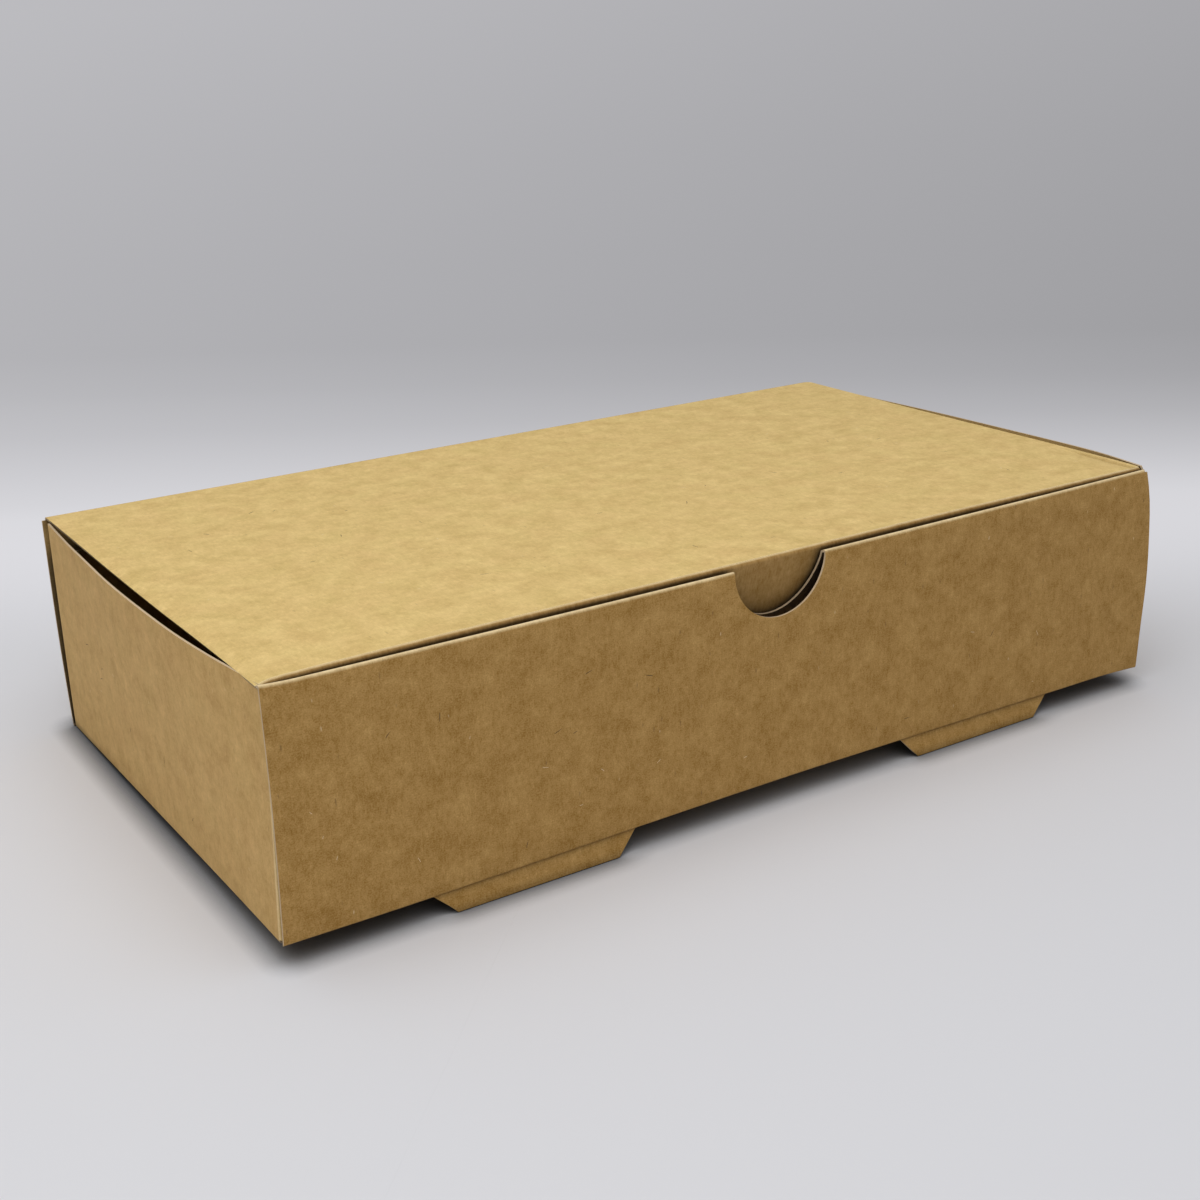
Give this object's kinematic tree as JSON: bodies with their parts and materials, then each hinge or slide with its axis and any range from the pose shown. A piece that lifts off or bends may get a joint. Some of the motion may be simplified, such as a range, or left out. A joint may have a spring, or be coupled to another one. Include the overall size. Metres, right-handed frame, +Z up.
{
  "type": "folding carton",
  "caption": "Kraft board box with a hinged tuck-in lid, a double roll-over front wall with a half-round thumb notch, and lock tabs through the base.",
  "frame": {"origin": "middle of the footprint, level with the lower edges of the lock tabs", "axes": "+X along the length, +Y from the front wall to the back wall, +Z up"},
  "size_m": [0.234, 0.1273, 0.056],
  "materials": {
    "kraft_board": "uncoated kraft board, matt, with fine fibres",
    "kraft_lid": "uncoated kraft board, matt, with fine fibres",
    "kraft_flap": "uncoated kraft board, matt, with fine fibres"
  },
  "bodies": {
    "tray": {"base_panel": "kraft_board", "front_outer_wall": "kraft_board", "front_ridge_left": "kraft_board", "front_ridge_right": "kraft_board", "front_inner_wall": "kraft_board", "left_side_wall": "kraft_board", "right_side_wall": "kraft_board", "left_front_corner_flap": "kraft_flap", "right_front_corner_flap": "kraft_flap"},
    "left_rear_flap": {"left_rear_corner_flap": "kraft_flap"},
    "right_rear_flap": {"right_rear_corner_flap": "kraft_flap"},
    "rear_wall": {"back_wall": "kraft_board"},
    "lid": {"lid_panel": "kraft_lid"},
    "tuck_flap": {"lid_tuck_flap": "kraft_flap"}
  },
  "joints": [
    {"name": "back_wall_crease", "type": "hinge", "parent": "tray", "child": "rear_wall", "pos_m": [0, 0.0604, 0.00525], "axis": [1, 0, 0], "range_deg": [-85, 0]},
    {"name": "lid_crease", "type": "hinge", "parent": "rear_wall", "child": "lid", "pos_m": [0, 0.0634, 0.05575], "axis": [-1, 0, 0], "range_deg": [0, 180]},
    {"name": "tuck_flap_crease", "type": "hinge", "parent": "lid", "child": "tuck_flap", "pos_m": [0, -0.05935, 0.0552], "axis": [1, 0, 0], "range_deg": [0, 75]},
    {"name": "left_rear_flap_crease", "type": "hinge", "parent": "tray", "child": "left_rear_flap", "pos_m": [-0.1137, 0.05905, 0.02], "axis": [0, 0, -1], "range_deg": [0, 75]},
    {"name": "right_rear_flap_crease", "type": "hinge", "parent": "tray", "child": "right_rear_flap", "pos_m": [0.1137, 0.05905, 0.02], "axis": [0, 0, 1], "range_deg": [0, 75]}
  ]
}
